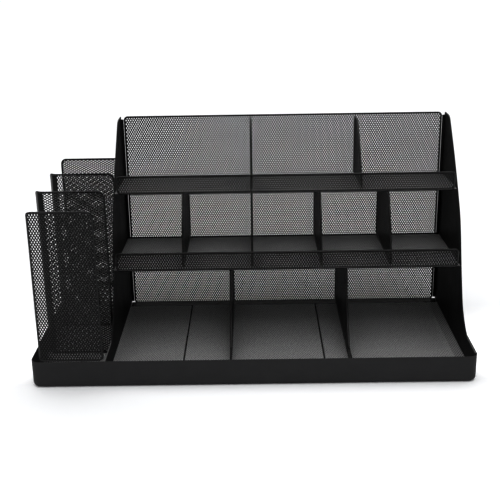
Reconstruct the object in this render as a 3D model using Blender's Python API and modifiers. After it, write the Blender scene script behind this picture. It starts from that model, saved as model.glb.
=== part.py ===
"""Desk organizer: a tiered unit of shelves and compartments beside a letter sorter.

Everything is welded, powder-coated steel: a sheet skirt and two sheet side panels carry wire-framed
panels of perforated sheet, which are drawn here as thin plain plates inside their frames.
Metres, +X to the right, +Y to the back, +Z up; the origin is on the table under the middle of the base.
"""

import math

import bmesh
import bpy
from mathutils import Matrix, Vector

# ---------------------------------------------------------------------------------------------
# Driving dimensions, metres
# ---------------------------------------------------------------------------------------------
WIDTH = 0.610                # over the base skirt, left to right
DEPTH = 0.300                # front of the skirt to the back of the frames
HEIGHT = 0.318               # table to the top of the side panels

SHEET_T = 0.0008             # steel sheet of the skirt and the side panels
MESH_T = 0.0008              # perforated sheet
WIRE_D = 0.0030              # frame wire
TOUCH = 0.0003               # clearance between pieces that touch

SKIRT_H = 0.0386             # height of the skirt's upper edge
SKIRT_CORNER_R = 0.012       # plan radius of the two front corners
SKIRT_BEND_R = 0.006         # outer radius where the wall turns under
SKIRT_FLANGE = 0.005         # flat width of the turned-under edge

SORTER_W = 0.101             # left end of the base to the left side panel
SORTER_H = 0.2515            # table to the top of the sorter panels
SORTER_PANELS = 4
SORTER_INSET = 0.002         # left edge of a sorter panel inside the end of the base
SORTER_FRONT_INSET = 0.012   # the same for the front panel, which stands on the rim
SORTER_WIDE_BEND = 0.011     # plan radius of the turned edge on the inner sorter panels
SORTER_TIGHT_BEND = 0.005    # the same on the front and back sorter panels
SORTER_CORNER_R = 0.009      # upper corners of a sorter frame

FLOOR_ROD_X = 0.102          # floor stiffening rods, either side of the middle
MID_SHELF_Z = 0.1185         # centre of the middle shelf at its back edge
TOP_SHELF_Z = 0.2205         # centre of the top shelf at its back edge
SHELF_RISE = 0.004           # each shelf's front edge above its back edge
MID_SHELF_D = 0.1705         # back frame to the plane of the middle shelf's lip
TOP_SHELF_D = 0.119          # back frame to the plane of the top shelf's lip
LIP_H = 0.0287               # lip frame, over its wires
LIP_CORNER_R = 0.0065

FRAME_CORNER_R = 0.0065      # corners of the back frame and the dividers
SIDE_FLANGE = 0.0032         # inward flange along the back of a side panel
SIDE_TOP_R = 0.008           # rounded back corner of a side panel
SIDE_SETBACK = 0.001         # back of a side panel inside the depth

MID_COMPARTMENTS = 5         # equal, so four dividers
TOP_DIVIDER_X = (-0.0005, 0.163)
BOTTOM_DIVIDER_X = (-0.033, 0.137)
BOTTOM_FOOT_H = 0.0195       # low front stretch of a bottom divider
BOTTOM_TOE = 0.051           # where a bottom divider's front meets its foot, ahead of the lip
BOTTOM_TOE_R = 0.0195
BOTTOM_WAIST = 0.020         # bend in a bottom divider's front, ahead of the lip
BOTTOM_WAIST_SHARE = 0.36    # height of that bend, as a share of the front's rise
BOTTOM_WAIST_R = 0.039

EDGE_TOP_D = 0.036           # back frame to where a side panel's upper edge starts to fall
EDGE_TOP_R = 0.020           # the rounding there
EDGE_RIM_D = 0.059           # front of the base to where the edge reaches the rim
RIM_STEP = 0.0016            # front stretch of a side panel below the rim
# Bends of that edge in the top, middle and low tier: shares of the tier's run and of its fall
EDGE_BENDS = (((0.555, 0.521),),
              ((0.552, 0.399),),
              ((0.203, 0.402), (0.377, 0.672), (0.688, 0.902)))

# ---------------------------------------------------------------------------------------------
# Dependent dimensions
# ---------------------------------------------------------------------------------------------
WIRE_R = WIRE_D / 2
FRONT_Y = -DEPTH / 2
BACK_Y = DEPTH / 2 - WIRE_R                          # plane of the back frame
REAR_STOP = BACK_Y - WIRE_R - TOUCH                  # nothing inside reaches further back
MID_LIP_Y = BACK_Y - MID_SHELF_D
TOP_LIP_Y = BACK_Y - TOP_SHELF_D
FRAME_SIDE_GAP = SIDE_FLANGE + TOUCH                 # back and lip frames to the side panels
LEFT_X = -WIDTH / 2
SIDE_CLEAR = SHEET_T + TOUCH                         # outer face of a sheet laid inside the skirt
BAY_LEFT = LEFT_X + SORTER_W + SHEET_T               # inner faces of the two side panels
BAY_RIGHT = WIDTH / 2 - SIDE_CLEAR - SHEET_T
FLANGE_END = SKIRT_BEND_R + SKIRT_FLANGE             # inner edge of the skirt's flange
FLOOR_WIRE_Z = TOUCH + WIRE_R
FLOOR_BOTTOM = FLOOR_WIRE_Z + WIRE_R + TOUCH
FLOOR_TOP = FLOOR_BOTTOM + MESH_T
STAND_Z = FLOOR_TOP + TOUCH                          # lowest point of what stands on the floor
BACK_FOOT = FLOOR_WIRE_Z - WIRE_R + 2 * MESH_T       # lowest point of the back frame
FRONT_CLEAR = SIDE_CLEAR + TOUCH                     # pieces on the floor to the skirt's front
BEND_STEPS = 6
CURVE_STEPS = 3
ARC_STEP = math.radians(22.5)

POWDER_COAT = {
    "sheet": ((0.014, 0.014, 0.015, 1.0), 0.48),
    "mesh": ((0.012, 0.012, 0.013, 1.0), 0.50),
    "wire": ((0.016, 0.016, 0.017, 1.0), 0.38),
}


# ---------------------------------------------------------------------------------------------
# Scene helpers
# ---------------------------------------------------------------------------------------------
def clear_scene():
    for item in list(bpy.data.objects):
        bpy.data.objects.remove(item, do_unlink=True)
    for group in list(bpy.data.collections):
        bpy.data.collections.remove(group)


def new_collection(name):
    group = bpy.data.collections.new(name)
    bpy.context.scene.collection.children.link(group)
    return group


def finish(name, kind):
    """Black powder coat on the named sub-part; the kinds differ a little in sheen."""
    colour, roughness = POWDER_COAT[kind]
    material = bpy.data.materials.new(name + "_finish")
    material.use_nodes = True
    shader = material.node_tree.nodes["Principled BSDF"]
    shader.inputs["Base Color"].default_value = colour
    shader.inputs["Roughness"].default_value = roughness
    shader.inputs["Metallic"].default_value = 0.0
    return material


def place(name, data, kind, matrix=None):
    data.materials.append(finish(name, kind))
    item = bpy.data.objects.new(name, data)
    item.parent = ROOT
    if matrix is not None:
        item.matrix_world = matrix
    PARTS.objects.link(item)
    return item


# ---------------------------------------------------------------------------------------------
# Outlines: lists of (point, corner radius), counter-clockwise
# ---------------------------------------------------------------------------------------------
def rectangle(left, right, low, high, radius):
    corners = ((left, low), (right, low), (right, high), (left, high))
    return [(Vector(corner), radius) for corner in corners]


def inset(outline, distance):
    """The same outline drawn `distance` further in, with its corner radii adjusted to match."""
    result = []
    for index, (point, radius) in enumerate(outline):
        before = (point - outline[index - 1][0]).normalized()
        after = (outline[(index + 1) % len(outline)][0] - point).normalized()
        normal_before = Vector((-before.y, before.x))
        normal_after = Vector((-after.y, after.x))
        shift = (normal_before + normal_after) / (1 + normal_before.dot(normal_after))
        outward_corner = before.cross(after) > 0
        if radius > 0:
            radius = max(radius - distance, WIRE_R / 3) if outward_corner else radius + distance
        result.append((point + shift * distance, radius))
    return result


def rounded(outline):
    """Points along the outline, with each corner drawn as an arc of its radius."""
    points = []
    for index, (corner, radius) in enumerate(outline):
        if radius <= 0:
            points.append(corner.copy())
            continue
        before = (corner - outline[index - 1][0]).normalized()
        after = (outline[(index + 1) % len(outline)][0] - corner).normalized()
        turn = math.atan2(before.cross(after), before.dot(after))
        start = corner - before * radius * math.tan(abs(turn) / 2)
        side = Vector((-before.y, before.x)) * math.copysign(radius, turn)
        centre = start + side
        steps = max(1, math.ceil(abs(turn) / ARC_STEP))
        for step in range(steps + 1):
            points.append(centre + Matrix.Rotation(turn * step / steps, 2) @ -side)
    return points


def plane(origin, across, up):
    """Matrix that lays a flat outline's x along `across` and its y along `up`."""
    across, up = Vector(across).normalized(), Vector(up).normalized()
    columns = (across, up, across.cross(up))
    matrix = Matrix.Identity(4)
    for index, column in enumerate(columns):
        matrix.col[index][:3] = column
    matrix.translation = origin
    return matrix


def facing_front(y):
    return plane((0, y, 0), (1, 0, 0), (0, 0, 1))


def facing_side(x):
    return plane((x, 0, 0), (0, 1, 0), (0, 0, 1))


# ---------------------------------------------------------------------------------------------
# Wire and plate builders
# ---------------------------------------------------------------------------------------------
def wire_curve(name, points, closed):
    curve = bpy.data.curves.new(name, "CURVE")
    curve.dimensions = "3D"
    curve.bevel_depth = WIRE_R
    curve.bevel_resolution = 2
    curve.use_fill_caps = not closed
    spline = curve.splines.new("POLY")
    spline.points.add(len(points) - 1)
    for knot, point in zip(spline.points, points):
        knot.co = (*Vector(point).to_3d(), 1)
    spline.use_cyclic_u = closed
    spline.use_smooth = True
    return curve


def wire_loop(name, points, matrix=None):
    return place(name, wire_curve(name, points, True), "wire", matrix)


def wire_rod(name, start, end):
    return place(name, wire_curve(name, (start, end), False), "wire")


def flat_curve(name, points, thickness):
    curve = bpy.data.curves.new(name, "CURVE")
    curve.dimensions = "2D"
    curve.fill_mode = "BOTH"
    curve.extrude = thickness / 2
    spline = curve.splines.new("POLY")
    spline.points.add(len(points) - 1)
    for knot, point in zip(spline.points, points):
        knot.co = (point.x, point.y, 0, 1)
    spline.use_cyclic_u = True
    spline.use_smooth = False
    return curve


def plate(name, outline, thickness, kind, matrix):
    return place(name, flat_curve(name, rounded(outline), thickness), kind, matrix)


def framed_panel(name, outline, matrix):
    """A wire frame whose outer edge is the outline, and the perforated sheet inside it."""
    wire_loop(name + "_frame", rounded(inset(outline, WIRE_R)), matrix)
    plate(name + "_mesh", inset(outline, WIRE_D + TOUCH), MESH_T, "mesh", matrix)


def flat_surface(points):
    """The filled outline as a flat bmesh face in its own XY plane."""
    surface = bmesh.new()
    verts = [surface.verts.new(point.to_3d()) for point in points]
    edges = [surface.edges.new((verts[i - 1], verts[i])) for i in range(len(verts))]
    bmesh.ops.contextual_create(surface, geom=edges)
    return surface


def thicken(item, thickness):
    solidify = item.modifiers.new("thickness", "SOLIDIFY")
    solidify.thickness = thickness
    solidify.offset = 0
    solidify.use_even_offset = True
    return item


def mesh_from(surface, name):
    data = bpy.data.meshes.new(name)
    surface.to_mesh(data)
    surface.free()
    return data


# ---------------------------------------------------------------------------------------------
# Base
# ---------------------------------------------------------------------------------------------
def skirt_inner(z):
    """How far the skirt's inner surface stands inside the base's outline at height z."""
    if z >= SKIRT_BEND_R:
        return SHEET_T
    inner_radius = SKIRT_BEND_R - SHEET_T
    return SKIRT_BEND_R - math.sqrt(inner_radius ** 2 - (SKIRT_BEND_R - z) ** 2)


def skirt_section():
    """Middle line of the skirt's section: (distance inside the outline, height)."""
    middle_radius = SKIRT_BEND_R - SHEET_T / 2
    section = [(FLANGE_END, SHEET_T / 2)]
    for step in range(BEND_STEPS + 1):
        angle = math.pi / 2 * step / BEND_STEPS
        inward = SKIRT_BEND_R - middle_radius * math.sin(angle)
        section.append((inward, SKIRT_BEND_R - middle_radius * math.cos(angle)))
    section.append((SHEET_T / 2, SKIRT_H))
    return section


def build_skirt():
    """One strip of sheet along the right end, the front and the left end, turned under at its foot."""
    shell = bmesh.new()
    rear = -FRONT_Y
    verts = [shell.verts.new((WIDTH / 2 - inward, rear, z)) for inward, z in skirt_section()]
    geometry = [shell.edges.new(pair) for pair in zip(verts, verts[1:])]

    def run(edges, offset):
        grown = bmesh.ops.extrude_edge_only(shell, edges=edges)["geom"]
        moved = [part for part in grown if isinstance(part, bmesh.types.BMVert)]
        bmesh.ops.translate(shell, verts=moved, vec=offset)
        return [part for part in grown if isinstance(part, bmesh.types.BMEdge)]

    def corner(edges, centre_x):
        centre = (centre_x, FRONT_Y + SKIRT_CORNER_R, 0)
        ends = {vert for edge in edges for vert in edge.verts}
        spun = bmesh.ops.spin(shell, geom=[*ends, *edges], cent=centre, axis=(0, 0, 1),
                              angle=-math.pi / 2, steps=BEND_STEPS)
        return [part for part in spun["geom_last"] if isinstance(part, bmesh.types.BMEdge)]

    geometry = run(geometry, (0, FRONT_Y + SKIRT_CORNER_R - rear, 0))
    geometry = corner(geometry, WIDTH / 2 - SKIRT_CORNER_R)
    geometry = run(geometry, (2 * SKIRT_CORNER_R - WIDTH, 0, 0))
    geometry = corner(geometry, LEFT_X + SKIRT_CORNER_R)
    run(geometry, (0, rear - FRONT_Y - SKIRT_CORNER_R, 0))
    bmesh.ops.recalc_face_normals(shell, faces=shell.faces)
    data = mesh_from(shell, "base_skirt")
    data.shade_smooth()
    thicken(place("base_skirt", data, "sheet"), SHEET_T)


def build_floor():
    """Perforated floor over a wire ring and two stiffening rods."""
    ring_inset = FLANGE_END + TOUCH + WIRE_R
    half_ring = WIDTH / 2 - ring_inset
    ring_front, ring_rear = FRONT_Y + ring_inset, REAR_STOP - WIRE_R
    ring = rectangle(-half_ring, half_ring, ring_front, ring_rear, SKIRT_BEND_R)
    level = plane((0, 0, FLOOR_WIRE_Z), (1, 0, 0), (0, 1, 0))
    wire_loop("floor_frame", rounded(ring), level)
    reach = WIRE_D + TOUCH
    for side, x in (("left", -FLOOR_ROD_X), ("right", FLOOR_ROD_X)):
        start = (x, ring_front + reach, FLOOR_WIRE_Z)
        wire_rod("floor_rod_" + side, start, (x, ring_rear - reach, FLOOR_WIRE_Z))
    edge = skirt_inner(FLOOR_BOTTOM) + TOUCH
    outline = rectangle(LEFT_X + edge, -LEFT_X - edge, FRONT_Y + edge, REAR_STOP, 0)
    for index in (0, 1):
        outline[index] = (outline[index][0], SKIRT_CORNER_R - edge)
    middle = plane((0, 0, FLOOR_BOTTOM + MESH_T / 2), (1, 0, 0), (0, 1, 0))
    plate("floor_mesh", outline, MESH_T, "mesh", middle)


# ---------------------------------------------------------------------------------------------
# Side panels and their curved front edge
# ---------------------------------------------------------------------------------------------
def edge_stations():
    """Points of the side panels' front edge, as (y, z), from the top down through each shelf to the rim."""
    anchors = [Vector((BACK_Y - EDGE_TOP_D, HEIGHT)),
               Vector((TOP_LIP_Y, TOP_SHELF_Z + SHELF_RISE)),
               Vector((MID_LIP_Y, MID_SHELF_Z + SHELF_RISE)),
               Vector((FRONT_Y + EDGE_RIM_D, SKIRT_H - RIM_STEP))]
    stations = anchors[:1]
    for upper, lower, bends in zip(anchors, anchors[1:], EDGE_BENDS):
        span = lower - upper
        stations += [upper + Vector((span.x * run, span.y * fall)) for run, fall in bends]
        stations.append(lower)
    return stations


def edge_curve():
    """A smooth line through the stations, which ends level at the rim."""
    stations = edge_stations()
    rim, neighbour = stations[-1], stations[-2]
    level_end = Vector((2 * rim.x - neighbour.x, neighbour.y))
    knots = [stations[0] * 2 - stations[1], *stations, level_end]
    line = []
    for before, start, end, after in zip(knots, knots[1:], knots[2:], knots[3:]):
        for step in range(CURVE_STEPS):
            t = step / CURVE_STEPS
            slope = (end - before) * t + (before * 2 - start * 5 + end * 4 - after) * t ** 2
            cubic = (start * 3 - before - end * 3 + after) * t ** 3
            line.append(start + (slope + cubic) / 2)
    line.append(rim)
    return line


def edge_between(low, high, rear_of):
    """The part of the front edge between two heights, from low to high, kept behind y = rear_of."""
    line = list(reversed(edge_curve()))
    kept = []
    for below, above in zip(line, line[1:]):
        if above.y <= low or below.y >= high:
            continue
        for level in (max(low, below.y), min(high, above.y)):
            share = (level - below.y) / (above.y - below.y)
            point = below.lerp(above, share)
            point.x = max(point.x, rear_of)
            if not kept or (point - kept[-1]).length > WIRE_R:
                kept.append(point)
    return kept


def build_side_panel(name, inner_face, outward, front):
    """A sheet standing inside the skirt, with its back edge turned in as a narrow flange."""
    rear = DEPTH / 2 - SIDE_SETBACK
    foot = SKIRT_BEND_R
    outline = [(Vector((front, foot)), 0), (Vector((rear - SHEET_T / 2, foot)), 0),
               (Vector((rear - SHEET_T / 2, HEIGHT)), SIDE_TOP_R)]
    edge = edge_curve()
    outline.append((edge[0], EDGE_TOP_R))
    outline += [(point, 0) for point in edge[1:]]
    outline.append((Vector((front, SKIRT_H - RIM_STEP)), 0))
    surface = flat_surface(rounded(outline))
    back = [edge for edge in surface.edges
            if all(abs(vert.co.x - rear + SHEET_T / 2) < 1e-6 for vert in edge.verts)]
    grown = bmesh.ops.extrude_edge_only(surface, edges=back)["geom"]
    moved = [part for part in grown if isinstance(part, bmesh.types.BMVert)]
    reach = SIDE_FLANGE + SHEET_T / 2
    bmesh.ops.translate(surface, verts=moved, vec=(0, 0, -outward * reach))
    bmesh.ops.recalc_face_normals(surface, faces=surface.faces)
    middle = inner_face + outward * SHEET_T / 2
    thicken(place(name, mesh_from(surface, name), "sheet", facing_side(middle)), SHEET_T)


# ---------------------------------------------------------------------------------------------
# Back, shelves and dividers
# ---------------------------------------------------------------------------------------------
def shelf_level(back_z, y):
    """Height of a shelf's middle plane at y, when its back edge is at back_z."""
    front = TOP_LIP_Y if back_z == TOP_SHELF_Z else MID_LIP_Y
    return back_z + SHELF_RISE * (REAR_STOP - WIRE_R - y) / (REAR_STOP - WIRE_R - front)


def build_back():
    left, right = BAY_LEFT + FRAME_SIDE_GAP, BAY_RIGHT - FRAME_SIDE_GAP
    outline = rectangle(left, right, BACK_FOOT, HEIGHT, FRAME_CORNER_R)
    framed_panel("back", outline, facing_front(BACK_Y))


def build_shelf(name, back_z, lip_y):
    """A perforated shelf between a straight rod at the back and an upright framed lip in front."""
    rod_y = REAR_STOP - WIRE_R
    start = (BAY_LEFT + TOUCH, rod_y, back_z)
    wire_rod(name + "_rear_rod", start, (BAY_RIGHT - TOUCH, rod_y, back_z))
    slope = Vector((0, rod_y - lip_y, -SHELF_RISE))
    lip_foot = back_z + SHELF_RISE
    level = plane((0, lip_y, lip_foot), (1, 0, 0), slope)
    edge = WIRE_R + TOUCH
    sheet = rectangle(BAY_LEFT + TOUCH, BAY_RIGHT - TOUCH, edge, slope.length - edge, 0)
    plate(name + "_mesh", sheet, MESH_T, "mesh", level)
    left, right = BAY_LEFT + FRAME_SIDE_GAP, BAY_RIGHT - FRAME_SIDE_GAP
    low = lip_foot - WIRE_R
    lip = rectangle(left, right, low, low + LIP_H, LIP_CORNER_R)
    framed_panel(name.replace("shelf", "lip"), lip, facing_front(lip_y))


def build_top_divider(number, x):
    """From the top shelf to the top of the back; its front follows the side panels' edge."""
    clear = WIRE_R + TOUCH
    lip_rear = TOP_LIP_Y + clear
    top = HEIGHT - WIRE_D
    outline = [(Vector((lip_rear, shelf_level(TOP_SHELF_Z, lip_rear) + clear)), FRAME_CORNER_R / 2),
               (Vector((REAR_STOP, shelf_level(TOP_SHELF_Z, REAR_STOP) + clear)), FRAME_CORNER_R / 2),
               (Vector((REAR_STOP, top)), FRAME_CORNER_R / 2)]
    lip_top = TOP_SHELF_Z + SHELF_RISE + LIP_H / 2
    outline += [(point, 0) for point in reversed(edge_between(lip_top, top, lip_rear))]
    framed_panel(f"top_divider_{number}", outline, facing_side(x))


def build_mid_divider(number, x):
    """From the middle shelf to the underside of the top shelf."""
    clear = WIRE_R + TOUCH
    lip_rear = MID_LIP_Y + clear
    floor_rear = shelf_level(MID_SHELF_Z, REAR_STOP) + clear
    top_rear = shelf_level(TOP_SHELF_Z, REAR_STOP) - clear
    top_front = shelf_level(TOP_SHELF_Z, TOP_LIP_Y) - clear
    front = edge_between(MID_SHELF_Z + SHELF_RISE + LIP_H / 2, top_front - WIRE_D, lip_rear)
    outline = [(Vector((lip_rear, shelf_level(MID_SHELF_Z, lip_rear) + clear)), FRAME_CORNER_R / 2),
               (Vector((REAR_STOP, floor_rear)), FRAME_CORNER_R / 2),
               (Vector((REAR_STOP, top_rear)), FRAME_CORNER_R / 2),
               (Vector((front[-1].x + WIRE_R, top_front)), FRAME_CORNER_R / 2)]
    outline += [(point, 0) for point in reversed(front)]
    framed_panel(f"mid_divider_{number}", outline, facing_side(x))


def build_bottom_divider(number, x):
    """From the floor to the underside of the middle shelf, with a low foot reaching the skirt."""
    clear = WIRE_R + TOUCH
    front = FRONT_Y + FRONT_CLEAR
    top_rear = shelf_level(MID_SHELF_Z, REAR_STOP) - clear
    top_front = shelf_level(MID_SHELF_Z, MID_LIP_Y) - clear
    small = FRAME_CORNER_R / 2
    waist_z = BOTTOM_FOOT_H + (top_front - BOTTOM_FOOT_H) * BOTTOM_WAIST_SHARE
    outline = [(Vector((front, STAND_Z)), small),
               (Vector((REAR_STOP, STAND_Z)), small),
               (Vector((REAR_STOP, top_rear)), small),
               (Vector((MID_LIP_Y + WIRE_R, top_front)), small),
               (Vector((MID_LIP_Y - BOTTOM_WAIST, waist_z)), BOTTOM_WAIST_R),
               (Vector((MID_LIP_Y - BOTTOM_TOE, BOTTOM_FOOT_H)), BOTTOM_TOE_R),
               (Vector((front, BOTTOM_FOOT_H)), small)]
    framed_panel(f"bottom_divider_{number}", outline, facing_side(x))


# ---------------------------------------------------------------------------------------------
# Sorter
# ---------------------------------------------------------------------------------------------
def turned_edge(right, left, y, bend, towards):
    """Where a sorter panel turns: the run before the bend, and a function from run to plan point."""
    straight = right - left - bend

    def at(run):
        if run <= straight:
            return Vector((right - run, y))
        angle = (run - straight) / bend
        swing = bend * (1 - math.cos(angle))
        return Vector((right - straight - bend * math.sin(angle), y + towards * swing))

    return straight, straight + bend * math.pi / 2, at


def split_runs(points, stations):
    """The closed outline with a point added wherever it crosses one of the given runs."""
    result = []
    for start, end in zip(points, points[1:] + points[:1]):
        result.append(start)
        crossed = [run for run in stations if min(start.x, end.x) + 1e-6 < run < max(start.x, end.x) - 1e-6]
        for run in sorted(crossed, reverse=start.x > end.x):
            result.append(start.lerp(end, (run - start.x) / (end.x - start.x)))
    return result


def build_sorter_panel(number, left, y, foot, bend, towards):
    """A framed upright panel whose left edge turns through a quarter circle."""
    name = f"sorter_panel_{number}"
    right = BAY_LEFT - SHEET_T - TOUCH
    straight, total, at = turned_edge(right - WIRE_R, left + WIRE_R, y, bend, towards)
    stations = [straight + (total - straight) * step / 4 for step in range(4)]
    outline = [(Vector((-WIRE_R, foot)), FRAME_CORNER_R),
               (Vector((total + WIRE_R, foot)), FRAME_CORNER_R),
               (Vector((total + WIRE_R, SORTER_H)), SORTER_CORNER_R),
               (Vector((-WIRE_R, SORTER_H)), SORTER_CORNER_R)]

    def spread(point):
        return Vector((*at(point.x), point.y))

    loop = split_runs(rounded(inset(outline, WIRE_R)), stations)
    wire_loop(name + "_frame", [spread(point) for point in loop])
    surface = flat_surface(rounded(inset(outline, WIRE_D + TOUCH)))
    for run in stations:
        whole = [*surface.verts, *surface.edges, *surface.faces]
        bmesh.ops.bisect_plane(surface, geom=whole, dist=1e-6, plane_co=(run, 0, 0), plane_no=(1, 0, 0))
    for vert in surface.verts:
        vert.co = spread(vert.co)
    thicken(place(name + "_mesh", mesh_from(surface, name), "mesh"), MESH_T)


def build_sorter():
    """Four panels at equal spacing; the front one stands on the rim, the last on a framed upstand."""
    left = LEFT_X + SORTER_INSET
    right = BAY_LEFT - SHEET_T - TOUCH
    upstand = rectangle(left, right, BACK_FOOT, SKIRT_H, FRAME_CORNER_R)
    framed_panel("sorter_upstand", upstand, facing_front(BACK_Y))
    first = FRONT_Y + WIRE_R
    pitch = (BACK_Y - first) / (SORTER_PANELS - 1)
    for index in range(SORTER_PANELS):
        y = first + pitch * index
        if index == 0:
            place_of = (LEFT_X + SORTER_FRONT_INSET, y, SKIRT_H + TOUCH, SORTER_TIGHT_BEND, 1)
        elif index == SORTER_PANELS - 1:
            place_of = (left, y, SKIRT_H + TOUCH, SORTER_TIGHT_BEND, -1)
        else:
            place_of = (left, y, STAND_Z, SORTER_WIDE_BEND, 1)
        build_sorter_panel(index + 1, *place_of)


# ---------------------------------------------------------------------------------------------
# The whole organizer
# ---------------------------------------------------------------------------------------------
clear_scene()
PARTS = new_collection("desk_organizer")
ROOT = bpy.data.objects.new("organizer_origin", None)
PARTS.objects.link(ROOT)

build_skirt()
build_floor()
build_side_panel("side_panel_left", BAY_LEFT, -1, FRONT_Y + SIDE_CLEAR)
build_side_panel("side_panel_right", BAY_RIGHT, 1, FRONT_Y + SKIRT_CORNER_R)
build_back()
build_shelf("mid_shelf", MID_SHELF_Z, MID_LIP_Y)
build_shelf("top_shelf", TOP_SHELF_Z, TOP_LIP_Y)
for count, divider_x in enumerate(TOP_DIVIDER_X, 1):
    build_top_divider(count, divider_x)
for count in range(1, MID_COMPARTMENTS):
    build_mid_divider(count, BAY_LEFT + (BAY_RIGHT - BAY_LEFT) * count / MID_COMPARTMENTS)
for count, divider_x in enumerate(BOTTOM_DIVIDER_X, 1):
    build_bottom_divider(count, divider_x)
build_sorter()
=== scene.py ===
"""Looks of the desk organizer: powder-coated wire frames, expanded steel sheet and bent sheet steel.

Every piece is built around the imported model, in its frame: metres, +X right, +Y back, +Z up.
"""

import logging
import math
from collections.abc import Sequence
from dataclasses import dataclass, field
from enum import Enum

import bmesh
import bpy
from mathutils import Matrix, Vector


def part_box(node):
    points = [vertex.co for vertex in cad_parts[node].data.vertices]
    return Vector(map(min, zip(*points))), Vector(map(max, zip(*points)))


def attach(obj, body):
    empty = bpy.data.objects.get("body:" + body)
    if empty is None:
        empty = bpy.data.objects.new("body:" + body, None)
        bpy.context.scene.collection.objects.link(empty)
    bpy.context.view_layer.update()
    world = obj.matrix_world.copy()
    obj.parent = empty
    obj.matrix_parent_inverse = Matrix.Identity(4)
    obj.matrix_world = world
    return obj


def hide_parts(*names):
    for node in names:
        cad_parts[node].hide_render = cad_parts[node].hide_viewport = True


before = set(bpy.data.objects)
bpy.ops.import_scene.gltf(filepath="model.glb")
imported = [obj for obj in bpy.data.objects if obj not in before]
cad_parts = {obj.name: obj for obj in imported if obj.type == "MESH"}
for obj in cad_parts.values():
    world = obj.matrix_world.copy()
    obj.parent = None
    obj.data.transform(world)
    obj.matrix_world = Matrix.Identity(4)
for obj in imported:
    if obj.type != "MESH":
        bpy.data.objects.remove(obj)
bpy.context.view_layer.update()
BODY = "root"
WELD_DISTANCE = 1e-6
PLATE_HALF = 0.0004           # half the thickness of the model's flat plates
BROAD_FACE = 0.99             # least cosine from a plate's broad side to a face that belongs to it
STRAIGHT_TURN = 1e-9          # largest inward turn that still counts as straight
STATION_CLEAR = 1e-5          # least distance of an added point from the ends of its wire
SHARP_ANGLE = math.radians(50)   # smooth pieces have sharp edges beyond this
log = logging.getLogger("desk_organizer")


class Coat(Enum):
    """The finish slots."""

    SKIRT = "skirt_paint"
    SIDE = "side_panel_paint"
    WIRE = "wire_paint"
    SHEET = "mesh_paint"


class Facing(Enum):
    """How a flat panel stands: the directions of its width and of its height."""

    FRONT = ((1, 0, 0), (0, 0, 1))
    SIDE = ((0, 1, 0), (0, 0, 1))
    LEVEL = ((1, 0, 0), (0, 1, 0))


# ---------------------------------------------------------------------------------------------
# Finishes
# ---------------------------------------------------------------------------------------------
class NodeBench:
    """A node tree with short calls for adding and joining its nodes."""

    MIX_SHARE, MIX_FIRST, MIX_SECOND, MIX_COLOUR = 0, 6, 7, 2    # a Mix node's sockets for colours

    def __init__(self, tree: bpy.types.NodeTree) -> None:
        """Start with an existing tree.

        Args:
            tree: the material's or the group's node tree.
        """
        self.tree = tree

    def add(self, kind: str, **settings: object) -> bpy.types.Node:
        """Add a node.

        Args:
            kind: the node's type name.
            settings: attributes to set on it.

        Returns:
            The new node.
        """
        node = self.tree.nodes.new(kind)
        for key, value in settings.items():
            setattr(node, key, value)
        return node

    def join(self, source: bpy.types.NodeSocket, target: bpy.types.NodeSocket) -> None:
        """Link an output to an input."""
        self.tree.links.new(source, target)

    def feed(self, target: bpy.types.NodeSocket, value: object) -> None:
        """Give an input its value.

        Args:
            target: the input.
            value: a socket to link to it, or a constant.
        """
        if isinstance(value, bpy.types.NodeSocket):
            self.join(value, target)
        else:
            target.default_value = value

    def math(self, operation: str, first: object, second: object) -> bpy.types.NodeSocket:
        """Add a Math node.

        Args:
            operation: what it works out.
            first: a socket or a number.
            second: a socket or a number.

        Returns:
            The node's output.
        """
        node = self.add("ShaderNodeMath", operation=operation)
        for socket, value in zip(node.inputs, (first, second)):
            self.feed(socket, value)
        return node.outputs[0]

    def noise(self, place: bpy.types.NodeSocket, scale: object, detail: float) -> bpy.types.NodeSocket:
        """Add a Noise Texture.

        Args:
            place: the coordinates it reads.
            scale: a socket or a number, in cycles a metre.
            detail: how many octaves it has.

        Returns:
            Its factor.
        """
        node = self.add("ShaderNodeTexNoise")
        self.join(place, node.inputs["Vector"])
        node.inputs["Detail"].default_value = detail
        self.feed(node.inputs["Scale"], scale)
        return node.outputs["Fac"]

    def ramp(self, value: bpy.types.NodeSocket, start: float, end: float,
             shape: str = "LINEAR") -> bpy.types.NodeSocket:
        """Add a Map Range node that rises from 0 to 1.

        Args:
            value: what it reads.
            start: the value that gives 0.
            end: the value that gives 1.
            shape: how it rises between them.

        Returns:
            Its result.
        """
        node = self.add("ShaderNodeMapRange", interpolation_type=shape)
        node.inputs["From Min"].default_value = start
        node.inputs["From Max"].default_value = end
        self.join(value, node.inputs["Value"])
        return node.outputs["Result"]

    def split(self, vector: bpy.types.NodeSocket) -> bpy.types.NodeOutputs:
        """Add a Separate XYZ node.

        Args:
            vector: what it takes apart.

        Returns:
            Its outputs X, Y and Z.
        """
        node = self.add("ShaderNodeSeparateXYZ")
        self.join(vector, node.inputs[0])
        return node.outputs

    def blend(self, share: bpy.types.NodeSocket, first: object, second: object) -> bpy.types.NodeSocket:
        """Add a colour Mix node.

        Args:
            share: how much of the second colour there is.
            first: a socket or a colour.
            second: a socket or a colour.

        Returns:
            The mixed colour.
        """
        node = self.add("ShaderNodeMix", data_type="RGBA")
        self.join(share, node.inputs[self.MIX_SHARE])
        self.feed(node.inputs[self.MIX_FIRST], first)
        self.feed(node.inputs[self.MIX_SECOND], second)
        return node.outputs[self.MIX_COLOUR]


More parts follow.
